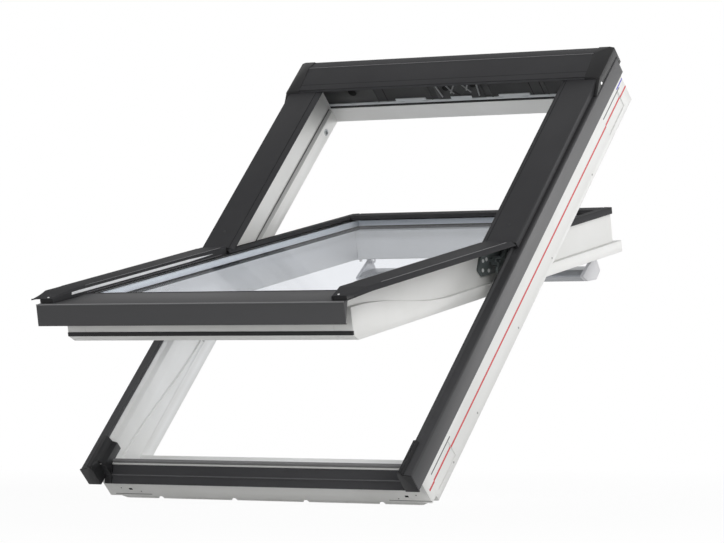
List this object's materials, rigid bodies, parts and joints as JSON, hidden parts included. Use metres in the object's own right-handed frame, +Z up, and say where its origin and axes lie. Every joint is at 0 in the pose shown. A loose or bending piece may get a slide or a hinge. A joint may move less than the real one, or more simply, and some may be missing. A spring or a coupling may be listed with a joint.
{
  "type": "roof window",
  "caption": "Centre-pivot roof window: white frame under dark aluminium cladding, a glazed sash that swings on curved-track hinges, with a control bar, vent flap and barrel bolt.",
  "frame": {"origin": "middle of the white bottom end face of the frame, which stands on its batten", "axes": "+X across the window to the right seen from outside, +Y level, from outside into the room, +Z up; the window leans at its roof pitch with the sash open"},
  "size_m": [0.78, 1.1433, 0.9345],
  "materials": {
    "white_body": "satin moulded polyurethane",
    "cladding": "satin anthracite coating",
    "black_moulding": "fine-grained moulding",
    "seal": "matt",
    "dark_panel": "matt moulding",
    "light_clip": "satin moulding",
    "hinge_steel": "dark zinc coating",
    "bright_steel": "zinc plated",
    "glass": "clear float",
    "bright_aluminium": "anodised"
  },
  "bodies": {
    "frame": {"frame_top_rail": "white_body", "frame_bottom_rail": "white_body", "frame_left_stile": "white_body", "frame_right_stile": "white_body", "left_stile_seal": "seal", "right_stile_seal": "seal", "top_rail_seal": "seal", "sill_seal": "seal", "left_side_cladding": "cladding", "right_side_cladding": "cladding", "left_upper_cover": "cladding", "right_upper_cover": "cladding", "cover_plugs": "black_moulding", "bottom_cover": "cladding", "left_corner_cap": "black_moulding", "right_corner_cap": "black_moulding", "hood": "cladding", "left_hood_cap": "black_moulding", "right_hood_cap": "black_moulding", "hood_screws": "bright_steel", "clip_strip": "light_clip", "vent_filter_panel": "dark_panel", "striker": "dark_panel", "bolt_bush": "light_clip", "left_hinge_guide": "hinge_steel", "right_hinge_guide": "hinge_steel", "hinge_guide_screws": "bright_steel"},
    "sash": {"sash_top_rail": "white_body", "sash_bottom_rail": "white_body", "sash_left_stile": "white_body", "sash_right_stile": "white_body", "outer_pane": "glass", "inner_pane": "glass", "pane_edge_seal": "seal", "pane_spacer": "bright_aluminium", "glazing_bed": "seal", "glazing_seal": "seal", "sash_front_cover": "cladding", "left_wing_cover": "cladding", "right_wing_cover": "cladding", "sash_left_trim": "cladding", "sash_right_trim": "cladding", "sash_top_trim": "cladding", "sash_bottom_seal": "seal", "left_hinge_tongue": "hinge_steel", "right_hinge_tongue": "hinge_steel", "hinge_tongue_screws": "bright_steel", "bolt_housing": "light_clip", "bar_lugs": "light_clip", "bar_pins": "bright_steel"},
    "control_bar": {"control_bar": "bright_aluminium", "left_bar_arm": "light_clip", "right_bar_arm": "light_clip"},
    "vent_flap": {"vent_flap": "dark_panel"},
    "lock_bolt": {"lock_bolt": "bright_steel"},
    "barrel_bolt": {"barrel_bolt": "bright_steel"}
  },
  "joints": [
    {"name": "sash_pivot", "type": "hinge", "parent": "frame", "child": "sash", "pos_m": [0, 0.33853, 0.49884], "axis": [-1, 0, 0], "range_deg": [-35.6, 105]},
    {"name": "bar_swing", "type": "hinge", "parent": "sash", "child": "control_bar", "pos_m": [0, 0.84518, 0.4749], "axis": [1, 0, 0], "range_deg": [0, 30]},
    {"name": "flap_tilt", "type": "hinge", "parent": "sash", "child": "vent_flap", "pos_m": [0, 0.85682, 0.53499], "axis": [-1, 0, 0], "range_deg": [0, 15]},
    {"name": "lock_slide", "type": "slide", "parent": "sash", "child": "lock_bolt", "axis": [0, -0.9836, -0.1805], "range_m": [0, 0.008]},
    {"name": "barrel_bolt_slide", "type": "slide", "parent": "sash", "child": "barrel_bolt", "axis": [-1, 0, 0], "range_m": [0, 0.01]}
  ],
  "couplings": [
    {"joint": "flap_tilt", "follows": "bar_swing", "ratio": 0.5},
    {"joint": "lock_slide", "follows": "bar_swing", "m_per_rad": 0.015279}
  ]
}
